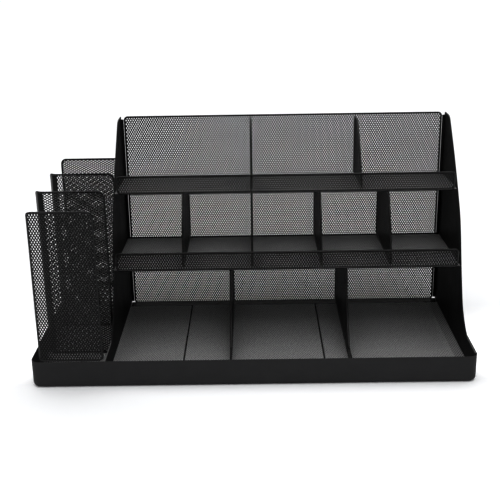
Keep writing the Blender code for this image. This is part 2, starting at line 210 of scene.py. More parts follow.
GRIT_FINENESS = 3.7           # how much finer the grit is than the orange peel
GRIT_SHARE = 0.35             # its height, as a share of the orange peel's
CLOUD_SCALE = 14.0            # broad mottling, in cycles a metre
SMEAR_SCALE = 47.0            # finer mottling
RUB_START = 0.42              # mottling at which rubbed patches begin
RUB_FULL = 0.72               # mottling at which they are fully rubbed
SPECK_ROUGHNESS = 0.22        # how far the grit changes the roughness
RUB_POLISH = 0.12             # how much smoother a rubbed patch is


def powder_group() -> bpy.types.NodeTree:
    """Make the node group that every coat shares: orange peel, mottling and rubbed patches.

    Returns:
        The group, with the inputs Place, Colour, Rub Colour, Roughness, Peel Scale and Rub Amount, and the
        outputs Colour, Roughness and Height.
    """
    tree = bpy.data.node_groups.new("powder_coat", "ShaderNodeTree")
    face = tree.interface
    sockets = (("Place", "Vector"), ("Colour", "Color"), ("Rub Colour", "Color"), ("Roughness", "Float"),
               ("Peel Scale", "Float"), ("Rub Amount", "Float"))
    for name, kind in sockets:
        face.new_socket(name, in_out="INPUT", socket_type="NodeSocket" + kind)
    for name, kind in (("Colour", "Color"), ("Roughness", "Float"), ("Height", "Float")):
        face.new_socket(name, in_out="OUTPUT", socket_type="NodeSocket" + kind)
    bench = NodeBench(tree)
    given = bench.add("NodeGroupInput").outputs
    result = bench.add("NodeGroupOutput").inputs
    peel = bench.noise(given["Place"], given["Peel Scale"], detail=2.0)
    grit_scale = bench.math("MULTIPLY", given["Peel Scale"], GRIT_FINENESS)
    grit = bench.noise(given["Place"], grit_scale, detail=1.0)
    height = bench.math("ADD", peel, bench.math("MULTIPLY", grit, GRIT_SHARE))
    cloud = bench.noise(given["Place"], CLOUD_SCALE, detail=3.0)
    smear = bench.noise(given["Place"], SMEAR_SCALE, detail=4.0)
    mottling = bench.math("MULTIPLY", bench.math("ADD", cloud, smear), 0.5)
    rubbed = bench.math("MULTIPLY", bench.ramp(mottling, RUB_START, RUB_FULL), given["Rub Amount"])
    speck = bench.math("MULTIPLY", bench.math("SUBTRACT", grit, 0.5), SPECK_ROUGHNESS)
    rough = bench.math("ADD", given["Roughness"], speck)
    rough = bench.math("SUBTRACT", rough, bench.math("MULTIPLY", rubbed, RUB_POLISH))
    bench.join(bench.blend(rubbed, given["Colour"], given["Rub Colour"]), result["Colour"])
    bench.join(rough, result["Roughness"])
    bench.join(height, result["Height"])
    return tree


PAINTED_SHEEN_START = 0.35           # slant at which the painted sheen on an upward face begins
PAINTED_SHEEN_FULL = 0.65            # slant at which the painted sheen is full


@dataclass(frozen=True)
class PowderCoat:
    """A black powder coat on steel, for one of the finish slots."""

    coat: Coat
    colour: tuple[float, float, float]
    rub_colour: tuple[float, float, float]
    roughness: float
    sheen: float
    peel_scale: float
    peel_height: float
    rub_amount: float
    # painted sheen: how light upward faces seen at a slant are painted, as if lit from overhead
    painted_sheen: float

    def material(self, group: bpy.types.NodeTree) -> bpy.types.Material:
        """Make the material.

        Args:
            group: the shared powder coat group.

        Returns:
            The finished material.
        """
        made = bpy.data.materials.new(self.coat.value)
        made.use_nodes = True
        bench = NodeBench(made.node_tree)
        shader = made.node_tree.nodes["Principled BSDF"]
        place = bench.add("ShaderNodeTexCoord").outputs["Object"]
        coat = bench.add("ShaderNodeGroup", node_tree=group)
        bench.join(place, coat.inputs["Place"])
        coat.inputs["Colour"].default_value = (*self.colour, 1.0)
        coat.inputs["Rub Colour"].default_value = (*self.rub_colour, 1.0)
        coat.inputs["Roughness"].default_value = self.roughness
        coat.inputs["Peel Scale"].default_value = self.peel_scale
        coat.inputs["Rub Amount"].default_value = self.rub_amount
        bump = bench.add("ShaderNodeBump")
        bump.inputs["Distance"].default_value = self.peel_height
        bench.join(coat.outputs["Height"], bump.inputs["Height"])
        bench.join(self.paint_glancing_sheen(bench, coat.outputs["Colour"]), shader.inputs["Base Color"])
        bench.join(coat.outputs["Roughness"], shader.inputs["Roughness"])
        bench.join(bump.outputs["Normal"], shader.inputs["Normal"])
        shader.inputs["Specular IOR Level"].default_value = self.sheen
        return made

    def paint_glancing_sheen(self, bench: NodeBench, colour: bpy.types.NodeSocket) -> bpy.types.NodeSocket:
        """Paint a sheen into the coat's colour: upward faces seen at a slant are lightened, as overhead
        light would light them.

        Args:
            bench: the material's nodes.
            colour: the coat's colour, seen square on.

        Returns:
            The colour to use.
        """
        # Painted sheen: the colour is lightened on upward faces seen at a slant, where overhead light
        # would fall.
        slant = bench.add("ShaderNodeLayerWeight")
        slant.inputs["Blend"].default_value = 0.5
        slanted = bench.ramp(slant.outputs["Facing"], PAINTED_SHEEN_START, PAINTED_SHEEN_FULL)
        normal = bench.split(bench.add("ShaderNodeNewGeometry").outputs["Normal"])
        upward = bench.math("MAXIMUM", normal["Z"], 0.0)
        share = bench.math("MULTIPLY", slanted, upward)
        return bench.blend(share, colour, (self.painted_sheen, self.painted_sheen, self.painted_sheen, 1.0))


# The last value of each coat is its painted sheen on upward faces seen at a slant; on the wires it is a
# painted highlight along their tops.
FINISHES = (
    PowderCoat(Coat.SKIRT, (0.0420, 0.0420, 0.0430), (0.0500, 0.0500, 0.0510), roughness=0.52, sheen=0.10,
               peel_scale=900.0, peel_height=0.00010, rub_amount=0.6, painted_sheen=0.05),
    PowderCoat(Coat.SIDE, (0.0160, 0.0160, 0.0163), (0.0200, 0.0200, 0.0203), roughness=0.55, sheen=0.10,
               peel_scale=900.0, peel_height=0.00010, rub_amount=0.6, painted_sheen=0.25),
    PowderCoat(Coat.WIRE, (0.0035, 0.0035, 0.0037), (0.0060, 0.0060, 0.0062), roughness=0.22, sheen=0.42,
               peel_scale=1400.0, peel_height=0.00004, rub_amount=0.5, painted_sheen=0.05),
    PowderCoat(Coat.SHEET, (0.0240, 0.0240, 0.0242), (0.0300, 0.0300, 0.0302), roughness=0.45, sheen=0.10,
               peel_scale=1400.0, peel_height=0.00004, rub_amount=0.5, painted_sheen=0.45),
)


# ---------------------------------------------------------------------------------------------
# Flat outlines
# ---------------------------------------------------------------------------------------------
def lay(across: Sequence[float], up: Sequence[float], origin: Vector) -> Matrix:
    """Work out where a flat drawing lies.

    Args:
        across: direction of the drawing's width.
        up: direction of its height.
        origin: where its zero point goes.

    Returns:
        The matrix from the drawing to the frame.
    """
    wide, tall = Vector(across).normalized(), Vector(up).normalized()
    matrix = Matrix((wide, tall, wide.cross(tall))).transposed().to_4x4()
    matrix.translation = origin
    return matrix


@dataclass
class Outline:
    """A closed flat outline, counter-clockwise, and where it lies."""

    points: list[Vector]
    plane: Matrix

    @classmethod
    def of_plate(cls, node: str, facing: Facing) -> "Outline":
        """Read the outline of a flat plate of the model.

        Args:
            node: the plate's node.
            facing: how it stands.

        Returns:
            Its outline, laid on the plate's middle plane.
        """
        shell = bmesh.new()
        shell.from_mesh(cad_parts[node].data)
        bmesh.ops.remove_doubles(shell, verts=shell.verts, dist=WELD_DISTANCE)
        across, up = (Vector(direction) for direction in facing.value)
        towards = across.cross(up)
        others = [face for face in shell.faces if face.normal.dot(towards) < BROAD_FACE]
        bmesh.ops.delete(shell, geom=others, context="FACES")
        regions = bmesh.ops.dissolve_faces(shell, faces=shell.faces[:])["region"]
        face = max(regions, key=lambda region: region.calc_area())
        normal = face.normal.copy()
        low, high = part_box(node)
        middle = (low + high) / 2
        middle -= normal * (middle - face.verts[0].co).dot(normal)
        plane = lay(across, normal.cross(across), middle - normal * PLATE_HALF)
        to_drawing = plane.inverted()
        points = [(to_drawing @ vert.co).to_2d() for vert in face.verts]
        shell.free()
        return cls(points, plane)

    def sides(self) -> list[tuple[Vector, Vector]]:
        """List the outline's straight sides, each as its start and its end."""
        return list(zip(self.points, self.points[1:] + self.points[:1]))

    def grown(self, distance: float) -> "Outline":
        """Draw the outline further out.

        Args:
            distance: how far out.

        Returns:
            The larger outline.
        """
        moved = []
        for index, point in enumerate(self.points):
            before = (point - self.points[index - 1]).normalized()
            after = (self.points[(index + 1) % len(self.points)] - point).normalized()
            out_before, out_after = Vector((before.y, -before.x)), Vector((after.y, -after.x))
            moved.append(point + (out_before + out_after) / (1 + out_before.dot(out_after)) * distance)
        return Outline(moved, self.plane)

    def is_convex(self) -> bool:
        """Tell whether the outline has no inward bend."""
        turns = [(self.points[i] - self.points[i - 1]).cross(self.points[i - 1] - self.points[i - 2])
                 for i in range(len(self.points))]
        return all(turn < STRAIGHT_TURN for turn in turns)

    def holds(self, spot: Vector) -> bool:
        """Tell whether a spot of the drawing is inside the outline.

        Args:
            spot: the spot.

        Returns:
            Whether it is inside.
        """
        inside = False
        for start, end in self.sides():
            if (start.y > spot.y) != (end.y > spot.y):
                crossing = start.x + (spot.y - start.y) / (end.y - start.y) * (end.x - start.x)
                inside ^= spot.x < crossing
        return inside

    def span(self) -> tuple[Vector, Vector]:
        """Find the rectangle round the outline.

        Returns:
            Its lowest and highest corners.
        """
        low = Vector((min(p.x for p in self.points), min(p.y for p in self.points)))
        high = Vector((max(p.x for p in self.points), max(p.y for p in self.points)))
        return low, high


# ---------------------------------------------------------------------------------------------
# Stock: expanded sheet and wire
# ---------------------------------------------------------------------------------------------
@dataclass(frozen=True)
class ExpandedSheet:
    """Steel sheet slit and pulled open into rows of diamonds, upright or lying."""

    pitch: float = 0.00367
    row: float = 0.00309
    strand: float = 0.00145
    thickness: float = 0.0007
    reach: float = 0.0012
    lying: bool = False
    spare_cells: int = 4

    def cut(self, outline: Outline) -> bmesh.types.BMesh:
        """Cut a sheet to an outline.

        Args:
            outline: the sheet's edge.

        Returns:
            The open surface, flat in the outline's drawing.
        """
        low, high = outline.span()
        size = high - low
        step = Vector((2 * self.row, self.pitch)) if self.lying else Vector((self.pitch, 2 * self.row))
        cells = math.ceil(size.x / step.x + size.y / step.y) + self.spare_cells
        sheet = bmesh.new()
        bmesh.ops.create_grid(sheet, x_segments=cells, y_segments=cells, size=cells / 2)
        middle = (low + high) / 2
        pull = Matrix(((step.x / 2, step.x / 2, 0, middle.x),
                       (-step.y / 2, step.y / 2, 0, middle.y),
                       (0, 0, 1, 0), (0, 0, 0, 1)))
        bmesh.ops.transform(sheet, matrix=pull, verts=sheet.verts)
        near = Outline([low - step, Vector((high.x + step.x, low.y - step.y)), high + step,
                        Vector((low.x - step.x, high.y + step.y))], outline.plane)
        far = [face for face in sheet.faces if not near.holds(face.calc_center_median().to_2d())]
        bmesh.ops.delete(sheet, geom=far, context="FACES")
        diamonds = sheet.faces[:]
        bmesh.ops.inset_individual(sheet, faces=diamonds, thickness=self.strand / 2, use_even_offset=True)
        bmesh.ops.delete(sheet, geom=diamonds, context="FACES_ONLY")
        convex = outline.is_convex()
        for start, end in outline.sides():
            along = end - start
            if along.length > WELD_DISTANCE:
                bmesh.ops.bisect_plane(sheet, geom=[*sheet.verts, *sheet.edges, *sheet.faces],
                                       dist=WELD_DISTANCE, plane_co=start.to_3d(),
                                       plane_no=(along.y, -along.x, 0), clear_outer=convex)
        if not convex:
            outside = [face for face in sheet.faces
                       if not outline.holds(face.calc_center_median().to_2d())]
            bmesh.ops.delete(sheet, geom=outside, context="FACES")
        return sheet


@dataclass(frozen=True)
class RoundWire:
    """Drawn steel wire, bent to a path."""

    radius: float = 0.0015
    sides: int = 12

    def bend(self, path: Sequence[Vector], normals: Sequence[Vector], closed: bool) -> bmesh.types.BMesh:
        """Bend the wire.

        Args:
            path: the points its middle follows.
            normals: at each point, a direction square to the wire that keeps it from twisting.
            closed: whether the two ends are welded together.

        Returns:
            The wire's surface.
        """
        rings = []
        for index, (point, normal) in enumerate(zip(path, normals)):
            before = path[index - 1] if index or closed else point
            after = path[(index + 1) % len(path)] if closed or index + 1 < len(path) else point
            ahead = ((point - before).normalized() + (after - point).normalized()).normalized()
            rings.append(lay(normal, ahead.cross(normal), point))
        wire = bmesh.new()
        bmesh.ops.create_circle(wire, segments=self.sides, radius=self.radius, matrix=rings[0])
        edges = wire.edges[:]
        if closed:
            rings.append(rings[0])
        for here, there in zip(rings, rings[1:]):
            grown = bmesh.ops.extrude_edge_only(wire, edges=edges)["geom"]
            verts = [part for part in grown if isinstance(part, bmesh.types.BMVert)]
            edges = [part for part in grown if isinstance(part, bmesh.types.BMEdge)]
            bmesh.ops.transform(wire, matrix=there @ here.inverted(), verts=verts)
        bmesh.ops.remove_doubles(wire, verts=wire.verts, dist=WELD_DISTANCE)
        if not closed:
            bmesh.ops.holes_fill(wire, edges=wire.edges[:], sides=self.sides)
        bmesh.ops.recalc_face_normals(wire, faces=wire.faces)
        return wire


SHEET = ExpandedSheet()
SORTER_SHEETS = (SHEET, ExpandedSheet(strand=0.0012, lying=True), ExpandedSheet(strand=0.0012),
                 ExpandedSheet(lying=True))
WIRE = RoundWire()
TOUCH = 0.0003
SIDE_FLANGE = 0.0032


# ---------------------------------------------------------------------------------------------
# Putting pieces in the scene
# ---------------------------------------------------------------------------------------------
class Workshop:
    """Turns finished surfaces into pieces that ride on the model."""

    def __init__(self) -> None:
        """Make the materials."""
        group = powder_group()
        self.materials = {finish.coat: finish.material(group) for finish in FINISHES}

    def piece(self, name: str, surface: bmesh.types.BMesh, coat: Coat, replaced: Sequence[str] = (),
              thickness: float = 0.0, smooth: bool = False) -> bpy.types.Object:
        """Make a piece from a surface, which is used up.

        Args:
            name: the piece's name.
            surface: its shape, in place.
            coat: its finish.
            replaced: the nodes it stands for.
            thickness: how thick an open surface is made, half to each side.
            smooth: whether its round faces are shaded smooth.

        Returns:
            The piece.
        """
        data = bpy.data.meshes.new(name)
        surface.to_mesh(data)
        surface.free()
        data.materials.append(self.materials[coat])
        if smooth:
            data.shade_smooth()
            data.set_sharp_from_angle(angle=SHARP_ANGLE)
        item = bpy.data.objects.new(name, data)
        bpy.context.scene.collection.objects.link(item)
        if thickness:
            wall = item.modifiers.new("thickness", "SOLIDIFY")
            wall.thickness = thickness
            wall.offset = 0
        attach(item, BODY)
        if replaced:
            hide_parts(*replaced)
        log.info("%s: %d faces", name, len(data.polygons))
        return item


# ---------------------------------------------------------------------------------------------
# Framed panels
# ---------------------------------------------------------------------------------------------
BACK_SEAMS = ((-0.0005, 0), (0.163, 0))     # behind the two top dividers


@dataclass
class FramedPanel:
    """A flat wire frame with expanded sheet welded into it."""

    name: str
    facing: Facing
    seams: tuple[tuple[float, float], ...] = ()

    def build(self, shop: Workshop) -> None:
        """Make the frame's wire and its sheet.

        Args:
            shop: makes the pieces.
        """
        outline = Outline.of_plate(self.name + "_mesh", self.facing)
        self.build_wire(shop, outline.grown(TOUCH + WIRE.radius))
        build_sheet(shop, self.name, outline.grown(SHEET.reach), self.seams)

    def build_wire(self, shop: Workshop, middle_line: Outline) -> None:
        """Make the frame.

        Args:
            shop: makes the piece.
            middle_line: what the wire's middle follows.
        """
        normal = middle_line.plane.col[2].to_3d()
        path = [middle_line.plane @ point.to_3d() for point in middle_line.points]
        wire = WIRE.bend(path, [normal] * len(path), True)
        shop.piece(self.name + "_wire", wire, Coat.WIRE, [self.name + "_frame"], smooth=True)


def build_sheet(shop: Workshop, name: str, outline: Outline, seams: Sequence[tuple[float, float]]) -> None:
    """Make a flat expanded sheet, in one piece or in strips side by side.

    Args:
        shop: makes the pieces.
        name: what the sheet is called.
        outline: its edge.
        seams: where along X one strip ends and the next begins, each with half the gap between them.
    """
    whole = SHEET.cut(outline)
    bmesh.ops.transform(whole, matrix=outline.plane, verts=whole.verts)
    limits = [(-math.inf, 0), *seams, (math.inf, 0)]
    for number, (left, right) in enumerate(zip(limits, limits[1:]), 1):
        strip = whole.copy()
        for limit, side in ((left[0] + left[1], -1), (right[0] - right[1], 1)):
            if math.isfinite(limit):
                bmesh.ops.bisect_plane(strip, geom=[*strip.verts, *strip.edges, *strip.faces],
                                       dist=WELD_DISTANCE, plane_co=(limit, 0, 0), plane_no=(side, 0, 0),
                                       clear_outer=True)
        label = f"{name}_sheet_{number}" if seams else f"{name}_sheet"
        shop.piece(label, strip, Coat.SHEET, [name + "_mesh"], SHEET.thickness)
    whole.free()


@dataclass
class Shelf:
    """A sheet shelf with a rod along its back edge and a framed lip along its front."""

    name: str
    rod_gap: float = 0.0042

    def build(self, shop: Workshop) -> None:
        """Make the shelf, its rod and its lip.

        Args:
            shop: makes the pieces.
        """
        outline = Outline.of_plate(self.name + "_shelf_mesh", Facing.LEVEL).grown(2 * TOUCH)
        back = outline.span()[1].y
        for point in outline.points:
            point.y = min(point.y, back - self.rod_gap)
        build_sheet(shop, self.name + "_shelf", outline, ())
        build_rod(shop, self.name + "_shelf_rear_rod", 0)
        FramedPanel(self.name + "_lip", Facing.FRONT).build(shop)


def build_rod(shop: Workshop, node: str, axis: int) -> None:
    """Make a straight rod where the model has one.

    Args:
        shop: makes the piece.
        node: the rod's node.
        axis: which way it runs: 0 for X, 1 for Y.
    """
    low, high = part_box(node)
    start, end = (low + high) / 2, (low + high) / 2
    start[axis], end[axis] = low[axis], high[axis]
    square_to_it = Vector((0, 0, 1))
    rod = WIRE.bend([start, end], [square_to_it, square_to_it], False)
    shop.piece(node + "_wire", rod, Coat.WIRE, [node], smooth=True)


# ---------------------------------------------------------------------------------------------
# Base
# ---------------------------------------------------------------------------------------------
@dataclass
class BaseTray:
    """The skirt round the front and the ends, and the floor that it carries."""

    sheet: float = 0.0008
    corner: float = 0.012
    bend: float = 0.006
    flange: float = 0.005
    steps: int = 12
    edge_round: float = 0.00035
    edge_segments: int = 3
    edge_angle: float = 60.0
    floor_seam: float = -0.033
    rod_gap: float = 0.0034
    rear_hem: float = 0.018
    hem_thickness: float = 0.0010

    def build(self, shop: Workshop) -> None:
        """Make the skirt, the floor's wires and its sheet.

        Args:
            shop: makes the pieces.
        """
        skirt = shop.piece("skirt", self.skirt_surface(), Coat.SKIRT, ["base_skirt"], self.sheet, True)
        rounding = skirt.modifiers.new("rounding", "BEVEL")
        rounding.width = self.edge_round
        rounding.segments = self.edge_segments
        rounding.limit_method = "ANGLE"
        rounding.angle_limit = math.radians(self.edge_angle)
        outline = Outline.of_plate("floor_mesh", Facing.LEVEL)
        rods = [sum(end.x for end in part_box("floor_rod_" + side)) / 2 for side in ("left", "right")]
        seams = [(rod, self.rod_gap / 2) for rod in rods]
        build_sheet(shop, "floor", outline, sorted([*seams, (self.floor_seam, 0)]))
        self.build_rear_hem(shop, outline)
        self.build_ring(shop)
        for side in ("left", "right"):
            build_rod(shop, "floor_rod_" + side, 1)

    def build_rear_hem(self, shop: Workshop, outline: Outline) -> None:
        """Make the plain strip along the floor's back edge, between the two side panels.

        Args:
            shop: makes the piece.
            outline: the floor sheet's edge.
        """
        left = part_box("side_panel_left")[1].x - SIDE_FLANGE
        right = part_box("side_panel_right")[0].x + SIDE_FLANGE
        back = (outline.plane @ outline.span()[1].to_3d()).y
        strip = bmesh.new()
        spread = Matrix.Diagonal((right - left - 2 * TOUCH, self.rear_hem, 1, 1))
        spread.translation = ((left + right) / 2, back - self.rear_hem / 2, outline.plane.translation.z)
        bmesh.ops.create_grid(strip, x_segments=1, y_segments=1, size=0.5, matrix=spread)
        shop.piece("floor_rear_hem", strip, Coat.WIRE, (), self.hem_thickness)

    def section(self) -> list[tuple[float, float]]:
        """Give the skirt's section, from its turned-under edge up to its rim.

        Returns:
            The points of its middle line, as (distance in from the base's outline, height).
        """
        middle_radius = self.bend - self.sheet / 2
        points = [(self.bend + self.flange, self.sheet / 2)]
        for step in range(self.steps + 1):
            angle = math.pi / 2 * step / self.steps
            points.append((self.bend - middle_radius * math.sin(angle),
                           self.bend - middle_radius * math.cos(angle)))
        points.append((self.sheet / 2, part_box("base_skirt")[1].z))
        return points

    def skirt_surface(self) -> bmesh.types.BMesh:
        """Draw the section along the right end, the front and the left end.

        Returns:
            The skirt's middle surface.
        """
        low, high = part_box("base_skirt")
        shell = bmesh.new()
        verts = [shell.verts.new((high.x - inward, high.y, z)) for inward, z in self.section()]
        edges = [shell.edges.new(pair) for pair in zip(verts, verts[1:])]
        depth = high.y - low.y - self.corner
        edges = self.run(shell, edges, Vector((0, -depth, 0)))
        edges = self.turn(shell, edges, Vector((high.x - self.corner, low.y + self.corner, 0)))
        edges = self.run(shell, edges, Vector((low.x - high.x + 2 * self.corner, 0, 0)))
        edges = self.turn(shell, edges, Vector((low.x + self.corner, low.y + self.corner, 0)))
        self.run(shell, edges, Vector((0, depth, 0)))
        bmesh.ops.remove_doubles(shell, verts=shell.verts, dist=WELD_DISTANCE)
        bmesh.ops.recalc_face_normals(shell, faces=shell.faces)
        return shell

    def run(self, shell: bmesh.types.BMesh, edges: list[bmesh.types.BMEdge],
            offset: Vector) -> list[bmesh.types.BMEdge]:
        """Carry the section straight on.

        Args:
            shell: the skirt so far.
            edges: its open end.
            offset: how far and which way.

        Returns:
            The new open end.
        """
        grown = bmesh.ops.extrude_edge_only(shell, edges=edges)["geom"]
        verts = [part for part in grown if isinstance(part, bmesh.types.BMVert)]
        bmesh.ops.translate(shell, verts=verts, vec=offset)
        return [part for part in grown if isinstance(part, bmesh.types.BMEdge)]

    def turn(self, shell: bmesh.types.BMesh, edges: list[bmesh.types.BMEdge],
             centre: Vector) -> list[bmesh.types.BMEdge]:
        """Carry the section round a corner.

        Args:
            shell: the skirt so far.
            edges: its open end.
            centre: the corner's centre.

        Returns:
            The new open end.
        """
        ends = {vert for edge in edges for vert in edge.verts}
        spun = bmesh.ops.spin(shell, geom=[*ends, *edges], cent=centre, axis=(0, 0, 1),
                              angle=-math.pi / 2, steps=self.steps, use_merge=False)
        return [part for part in spun["geom_last"] if isinstance(part, bmesh.types.BMEdge)]

    def build_ring(self, shop: Workshop) -> None:
        """Make the wire ring under the floor.

        Args:
            shop: makes the piece.
        """
        low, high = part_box("floor_frame")
        path = rounded_rectangle(low.x + WIRE.radius, high.x - WIRE.radius, low.y + WIRE.radius,
                                 high.y - WIRE.radius, self.bend, self.steps // 2)
        upward = Vector((0, 0, 1))
        level = (low.z + high.z) / 2
        ring = WIRE.bend([Vector((*point, level)) for point in path], [upward] * len(path), True)
        shop.piece("floor_ring_wire", ring, Coat.WIRE, ["floor_frame"], smooth=True)


def rounded_rectangle(left: float, right: float, low: float, high: float, radius: float, steps: int,
                      upper_radius: float | None = None) -> list[Vector]:
    """Draw a rectangle with round corners.

    Args:
        left: its left side.
        right: its right side.
        low: its lower side.
        high: its upper side.
        radius: of the corners.
        steps: how many chords a corner has.
        upper_radius: of the two upper corners, where it differs.

    Returns:
        Its points, counter-clockwise from the lower left.
    """
    upper = upper_radius or radius
    corners = ((left + radius, low + radius, 2, radius), (right - radius, low + radius, 3, radius),
               (right - upper, high - upper, 0, upper), (left + upper, high - upper, 1, upper))
    points = []
    for x, y, quarter, bend in corners:
        for step in range(steps + 1):
            angle = math.pi / 2 * (quarter + step / steps)
            points.append(Vector((x + bend * math.cos(angle), y + bend * math.sin(angle))))
    return points


# ---------------------------------------------------------------------------------------------
# Side panels
# ---------------------------------------------------------------------------------------------
@dataclass
class SidePanel:
    """A sheet end with a curved front edge, a rolled bead along that edge, and a flange at the back."""

    node: str
    inward: int
    sheet: float = 0.0008
    flange: float = SIDE_FLANGE
    bead: RoundWire = RoundWire(radius=0.0009, sides=10)
    rim_overlap: float = 0.002
    back_clear: float = 0.004

    def build(self, shop: Workshop) -> None:
        """Make the sheet and its bead.

        Args:
            shop: makes the pieces.
        """
        outline = Outline.of_plate(self.node, Facing.SIDE)
        low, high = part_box(self.node)
        inner_face = high.x - self.flange if self.inward > 0 else low.x + self.flange
        outline.plane.translation.x = inner_face - self.inward * self.sheet / 2
        panel = bmesh.new()
        verts = [panel.verts.new(outline.plane @ point.to_3d()) for point in outline.points]
        edges = [panel.edges.new((verts[i - 1], verts[i])) for i in range(len(verts))]
        bmesh.ops.contextual_create(panel, geom=edges)
        back = [edge for edge in panel.edges
                if all(vert.co.y > high.y - 2 * self.sheet for vert in edge.verts)]
        grown = bmesh.ops.extrude_edge_only(panel, edges=back)["geom"]
        moved = [part for part in grown if isinstance(part, bmesh.types.BMVert)]
        reach = self.flange + self.sheet / 2
        bmesh.ops.translate(panel, verts=moved, vec=(self.inward * reach, 0, 0))
        bmesh.ops.recalc_face_normals(panel, faces=panel.faces)
        shop.piece(self.node + "_sheet", panel, Coat.SIDE, [self.node], self.sheet)
        self.build_bead(shop, outline, high)

    def build_bead(self, shop: Workshop, outline: Outline, high: Vector) -> None:
        """Roll the bead along the free edge, from the rim up to the top of the back.

        Args:
            shop: makes the piece.
            outline: the sheet's edge.
            high: the panel's highest corner.
        """
        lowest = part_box("base_skirt")[1].z - self.rim_overlap
        path = [outline.plane @ point.to_3d() for point in outline.points]
        free = [index for index, point in enumerate(path)
                if point.z > lowest and point.y < high.y - self.back_clear]
        start = next(index for index in free if (index - 1) % len(path) not in free)
        run = [path[(start + step) % len(path)] for step in range(len(free))]
        sideways = Vector((1, 0, 0))
        bead = self.bead.bend(run, [sideways] * len(run), False)
        shop.piece(self.node + "_bead", bead, Coat.SIDE, smooth=True)


# ---------------------------------------------------------------------------------------------
# Letter sorter
# ---------------------------------------------------------------------------------------------
@dataclass
class SorterPanel:
    """An upright framed panel whose left edge turns through a quarter circle."""

    number: int
    bend: float
    towards: int
    hemmed: bool
    corner_low: float = 0.005
    corner_high: float = 0.009
    steps: int = 6
    right: float = field(default=0.0, init=False)
    straight: float = field(default=0.0, init=False)
    level: float = field(default=0.0, init=False)

    def measure(self, low: Vector, high: Vector) -> None:
        """Take the panel's right edge, straight run and level from its frame.

        Args:
            low: the frame's lowest corner.
            high: its highest corner.
        """
        self.right = high.x - WIRE.radius
        self.straight = self.right - (low.x + WIRE.radius) - self.bend
        self.level = low.y + WIRE.radius if self.towards > 0 else high.y - WIRE.radius

    def build(self, shop: Workshop) -> None:
        """Make the frame's wire and its sheet.

        Args:
            shop: makes the pieces.
        """
        name = f"sorter_panel_{self.number}"
        low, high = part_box(name + "_frame")
        self.measure(low, high)
        total = self.straight + self.bend * math.pi / 2
        corners = (0, total, low.z + WIRE.radius, high.z - WIRE.radius, self.corner_low, self.steps,
                   self.corner_high)
        points = self.with_bend_stations(rounded_rectangle(*corners))
        path = [self.spread(point) for point in points]
        wire = WIRE.bend(path, [self.facing(point.x) for point in points], True)
        shop.piece(name + "_wire", wire, Coat.WIRE, [name + "_frame"], smooth=True)
        inset = TOUCH + WIRE.radius - SHEET.reach
        edge = rounded_rectangle(inset, total - inset, low.z + WIRE.radius + inset,
                                 high.z - WIRE.radius - inset, self.corner_low - inset, self.steps // 2,
                                 self.corner_high - inset)
        sheet = SORTER_SHEETS[self.number - 1].cut(Outline(edge, Matrix.Identity(4)))
        for vert in sheet.verts:
            vert.co = self.spread(vert.co)
        shop.piece(name + "_sheet", sheet, Coat.SHEET, [name + "_mesh"], SHEET.thickness)
        if self.hemmed:
            self.build_hem(shop, name, low.z + WIRE.radius, high.z - 2 * WIRE.radius)

    def build_hem(self, shop: Workshop, name: str, bottom: float, top: float) -> None:
        """Make the plain strip that the sheet is folded over round the bend.

        Args:
            shop: makes the piece.
            name: what the panel is called.
            bottom: height of its lower end.
            top: height of its upper end.
        """
        run = self.bend * math.pi / 2
        flat = Matrix.Diagonal((run, top - bottom, 1, 1))
        flat.translation = (self.straight + run / 2, (top + bottom) / 2, 0)
        strip = bmesh.new()
        bmesh.ops.create_grid(strip, x_segments=2 * self.steps, y_segments=1, size=0.5, matrix=flat)
        corner = self.corner_high
        for vert in strip.verts:
            into_corner = corner - (self.straight + run - vert.co.x)
            if vert.co.y > flat.translation.y and into_corner > 0:
                vert.co.y -= corner - math.sqrt(max(0.0, corner ** 2 - into_corner ** 2))
            vert.co = self.spread(vert.co)
        shop.piece(name + "_hem", strip, Coat.SIDE, (), 2 * SHEET.thickness, smooth=True)

    def with_bend_stations(self, points: list[Vector]) -> list[Vector]:
        """Add points along the level wires where they go round the bend.

        Args:
            points: the frame's flat outline.

        Returns:
            The outline with the points added.
        """
        stops = [self.straight + self.bend * math.pi / 2 * step / self.steps for step in range(self.steps)]
        result = []
        for start, end in zip(points, points[1:] + points[:1]):
            result.append(start)
            near, far = min(start.x, end.x) + STATION_CLEAR, max(start.x, end.x) - STATION_CLEAR
            crossed = [stop for stop in stops if near < stop < far]
            for stop in sorted(crossed, reverse=start.x > end.x):
                result.append(start.lerp(end, (stop - start.x) / (end.x - start.x)))
        return result

    def spread(self, spot: Vector) -> Vector:
        """Carry a spot of the flat panel to its place.

        Args:
            spot: x is the distance from the right edge along the sheet, y is the height.

        Returns:
            Its place in the frame.
        """
        angle = max(0.0, (spot.x - self.straight) / self.bend)
        x = self.right - min(spot.x, self.straight) - self.bend * math.sin(angle)
        return Vector((x, self.level + self.towards * self.bend * (1 - math.cos(angle)), spot.y))

    def facing(self, run: float) -> Vector:
        """Give the sheet's normal at a distance from the right edge."""
        angle = max(0.0, (run - self.straight) / self.bend)
        return Vector((math.sin(angle), self.towards * math.cos(angle), 0))


@dataclass
class LetterSorter:
    """Four panels on the left of the base, and the upstand under the last."""

    wide_bend: float = 0.011
    tight_bend: float = 0.005

    def build(self, shop: Workshop) -> None:
        """Make the panels and the upstand.

        Args:
            shop: makes the pieces.
        """
        bends = ((self.tight_bend, 1), (self.wide_bend, 1), (self.wide_bend, 1), (self.tight_bend, -1))
        for number, (bend, towards) in enumerate(bends, 1):
            SorterPanel(number, bend, towards, bend == self.wide_bend).build(shop)
        FramedPanel("sorter_upstand", Facing.FRONT).build(shop)


